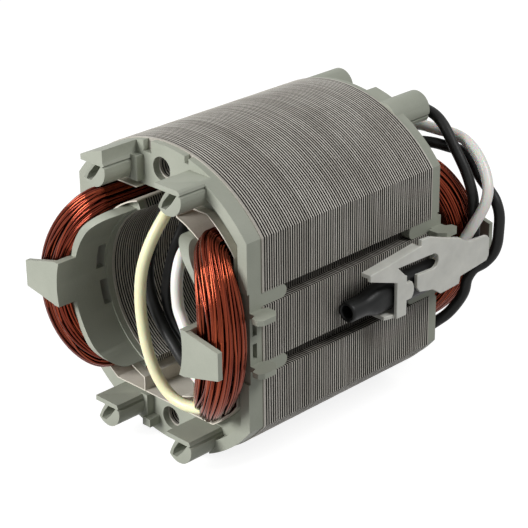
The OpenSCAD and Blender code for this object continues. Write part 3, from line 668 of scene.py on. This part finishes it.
def light_insulation(name, clean, worn):
    """Pale cord insulation: smooth, with faint stains of a duller tone."""
    material, tree, rubber = new_finish(name)
    specks, stains = grain(tree, 0.5 * MM, 12 * MM)
    darkened = blend_colours(tree, spread(tree, stains, 0.0, 0.35), clean, worn)
    tree.links.new(darkened, rubber.inputs["Base Color"])
    tree.links.new(spread(tree, specks, 0.3, 0.42), rubber.inputs["Roughness"])
    tree.links.new(bump(tree, specks, 0.1, 0.04 * MM), rubber.inputs["Normal"])
    rubber.inputs["Subsurface Weight"].default_value = 0.3
    rubber.inputs["Subsurface Scale"].default_value = 0.6 * MM
    return material


def black_insulation():
    """Black cord insulation with a dusty, half-matt skin."""
    material, tree, rubber = new_finish("black_insulation")
    specks, dust = grain(tree, 0.4 * MM, 8 * MM)
    dusty = blend_colours(tree, spread(tree, dust, 0.0, 0.5), tint(24, 24, 24), tint(48, 48, 46))
    tree.links.new(dusty, rubber.inputs["Base Color"])
    tree.links.new(spread(tree, specks, 0.38, 0.52), rubber.inputs["Roughness"])
    tree.links.new(bump(tree, specks, 0.12, 0.04 * MM), rubber.inputs["Normal"])
    rubber.inputs["Specular IOR Level"].default_value = 0.2
    return material


black_cord = black_insulation()
cream = light_insulation("pale_insulation", tint(247, 244, 202), tint(233, 227, 182))
white = light_insulation("white_insulation", tint(242, 240, 234), tint(226, 223, 214))
lead("pale_lead", PALE_ROUTE, cream, "pale_insulation")
lead("white_lead", WHITE_ROUTE, white, "white_insulation")
lead("inner_black_lead", INNER_ROUTE, black_cord, "black_insulation")
lead("outer_black_lead", OUTER_ROUTE, black_cord, "black_insulation")


# Terminal
# A receptacle folded from brass strip, with its barrel crimped round two leads.
# It sits inside the boot and shows only through the boot's open ends.
def terminal_brass():
    """Stamped brass, a little dulled."""
    material, tree, brass = new_finish("terminal_brass")
    specks, stains = grain(tree, 0.3 * MM, 4 * MM)
    dulled = blend_colours(tree, spread(tree, stains, 0.0, 0.6), tint(206, 170, 96), tint(150, 118, 62))
    tree.links.new(dulled, brass.inputs["Base Color"])
    tree.links.new(spread(tree, specks, 0.25, 0.4), brass.inputs["Roughness"])
    brass.inputs["Metallic"].default_value = 1.0
    return material


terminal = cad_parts["receptacle_terminal"]
terminal.data.materials.clear()
terminal.data.materials.append(terminal_brass())


# Terminal boot
# A soft black sleeve pushed over the terminal: flat-oval over its body, drawn in
# to a round neck with a hole at the free end.
BOOT_X, BOOT_Z = 40.5, -2.3
BOOT_HEIGHT, BOOT_THICK, BOOT_WALL = 9.2, 6.8, 0.9
BOOT_TIP_D, BOOT_HOLE_D = 6.2, 4.0
BOOT_LIP, BOOT_LIP_EASE, BOOT_SIDES = 0.6, 0.35, 48
BOOT_TIP, BOOT_NECK, BOOT_BODY, BOOT_END = -5.8, 0.0, 6.0, 31.6


def boot_sleeve():
    """Flat ovals carried along Y: out along the outside from tip to end, round the lip and
    back along the inside. Width and height run from neck to body in an S-shaped curve."""
    lip = np.array([0, 0.25, BOOT_LIP])
    between = np.linspace(BOOT_TIP + 2 * BOOT_LIP, BOOT_END - BOOT_LIP, 40)
    outside = np.concatenate([BOOT_TIP + lip, between, BOOT_END - lip[1::-1]])
    y = np.append(outside, outside[::-1])
    rise = np.clip((y - BOOT_NECK) / (BOOT_BODY - BOOT_NECK), 0, 1)
    rise = rise * rise * (3 - 2 * rise)
    inside = np.repeat([0.0, 1.0], len(outside))
    from_lip = np.minimum(y - BOOT_TIP, BOOT_END - y)
    ease = BOOT_LIP_EASE * np.clip(1 - from_lip / BOOT_LIP, 0, 1) ** 2 * (1 - 2 * inside)
    wall = (BOOT_TIP_D - BOOT_HOLE_D) / 2 * (1 - rise) + BOOT_WALL * rise
    inset = inside * wall + ease
    width = BOOT_TIP_D + (BOOT_THICK - BOOT_TIP_D) * rise - 2 * inset
    height = BOOT_TIP_D + (BOOT_HEIGHT - BOOT_TIP_D) * rise - 2 * inset
    q = (np.arange(BOOT_SIDES) + 0.5) * 2 * np.pi / BOOT_SIDES
    x = width[:, None] / 2 * np.cos(q)
    z = width[:, None] / 2 * np.sin(q) + (height - width)[:, None] / 2 * np.sign(np.sin(q))
    rings = np.stack([BOOT_X + x, np.broadcast_to(y[:, None], x.shape), BOOT_Z + z], -1)
    return rings.reshape(-1, 3), grid_faces(len(y), BOOT_SIDES, True)


def black_sleeve():
    """Soft black sleeve with a faint satin sheen and a little dust."""
    material, tree, rubber = new_finish("black_sleeve")
    specks, dust = grain(tree, 0.4 * MM, 6 * MM)
    dusty = blend_colours(tree, spread(tree, dust, 0.0, 0.5), tint(18, 19, 19), tint(32, 33, 32))
    tree.links.new(dusty, rubber.inputs["Base Color"])
    tree.links.new(spread(tree, specks, 0.34, 0.48), rubber.inputs["Roughness"])
    tree.links.new(bump(tree, specks, 0.12, 0.04 * MM), rubber.inputs["Normal"])
    rubber.inputs["Specular IOR Level"].default_value = 0.2
    return material


boot_points, boot_faces = boot_sleeve()
boot = mesh_object("boot_sleeve", boot_points * MM, boot_faces)
dress(boot, black_sleeve(), "black_boot", "terminal_boot")


# Connector holder
# A clip moulded in natural nylon. Its walls slide between the rear shelves, and
# its arm, strap and foot hold the boot against the side of the stack.
HOLDER_EASE = 0.2


def natural_nylon():
    """Milky nylon with a smooth skin, which lets light in a little way."""
    material, tree, nylon = new_finish("natural_nylon")
    _, stains = grain(tree, 0.4 * MM, 6 * MM)
    toned = blend_colours(tree, stains, tint(206, 206, 198), tint(222, 222, 214))
    tree.links.new(toned, nylon.inputs["Base Color"])
    nylon.inputs["Roughness"].default_value = 0.34
    nylon.inputs["Subsurface Weight"].default_value = 0.35
    nylon.inputs["Subsurface Radius"].default_value = (1.0, 0.95, 0.85)
    nylon.inputs["Subsurface Scale"].default_value = 0.8 * MM
    return material


side_clip = eased_copy("connector_holder", "side_clip", HOLDER_EASE * MM)
dress(side_clip, natural_nylon(), "natural_nylon", "connector_holder")


# Studio
# A pale floor under the stator and soft lamps. The floor and the surroundings look
# white to the eye and in reflections, and the floor still takes the shadow.
FLOOR_Z = cad_box[0][2]
FLOOR_HALF, FLOOR_GREY, FLOOR_GLOW = 3.0, 0.32, 0.86
WORLD_LIGHT, WORLD_SEEN = 0.15, 1.0


def seen_directly(tree):
    """1 for what the camera sees itself, in a reflection or through a clear piece."""
    rays = place(tree, "ShaderNodeLightPath").outputs
    some = place(tree, "ShaderNodeMath", {"operation": "MAXIMUM"},
                 in0=rays["Is Camera Ray"], in1=rays["Is Glossy Ray"])
    return place(tree, "ShaderNodeMath", {"operation": "MAXIMUM"},
                 in0=some.outputs[0], in1=rays["Is Transmission Ray"]).outputs[0]


def pale_floor():
    """Matt pale floor with a glow of its own for the eye only, so that it reads as white."""
    material, tree, _ = new_finish("pale_floor")
    tree.nodes.clear()
    matt = place(tree, "ShaderNodeBsdfDiffuse", Color=(FLOOR_GREY, FLOOR_GREY, FLOOR_GREY, 1))
    glow = place(tree, "ShaderNodeEmission", Strength=spread(tree, seen_directly(tree), 0.0, FLOOR_GLOW))
    both = place(tree, "ShaderNodeAddShader", in0=matt.outputs[0], in1=glow.outputs[0])
    place(tree, "ShaderNodeOutputMaterial", Surface=both.outputs[0])
    return material


corners = FLOOR_HALF * np.array([[-1, -1, 0], [1, -1, 0], [1, 1, 0], [-1, 1, 0]]) + [0, 0, FLOOR_Z]
floor = mesh_object("floor", corners, [[0, 1, 2, 3]])
floor.data.materials.append(pale_floor())

world = bpy.data.worlds.new("studio")
bpy.context.scene.world = world
world.use_nodes = True
sky = world.node_tree
background = sky.nodes["Background"]
background.inputs["Color"].default_value = (1, 1, 1, 1)
sky.links.new(spread(sky, seen_directly(sky), WORLD_LIGHT, WORLD_SEEN), background.inputs["Strength"])


def lamp(name, stand, size, watts):
    """A square soft lamp at a place in metres, turned to the middle of the stator."""
    light = bpy.data.lights.new(name, "AREA")
    light.size = size
    light.energy = watts
    made = bpy.data.objects.new(name, light)
    back = np.array(stand) / np.linalg.norm(stand)
    side = np.cross([0, 1, 0], back)
    side /= np.linalg.norm(side)
    made.matrix_world = Matrix(np.vstack([
        np.column_stack([side, np.cross(back, side), back, stand]), [0, 0, 0, 1]]))
    bpy.context.scene.collection.objects.link(made)


lamp("key", (-0.3, -0.86, 0.34), 0.4, 10.2)
lamp("fill", (0.65, 0.25, 0.8), 0.4, 5.8)

bpy.context.scene.view_settings.view_transform = "Standard"
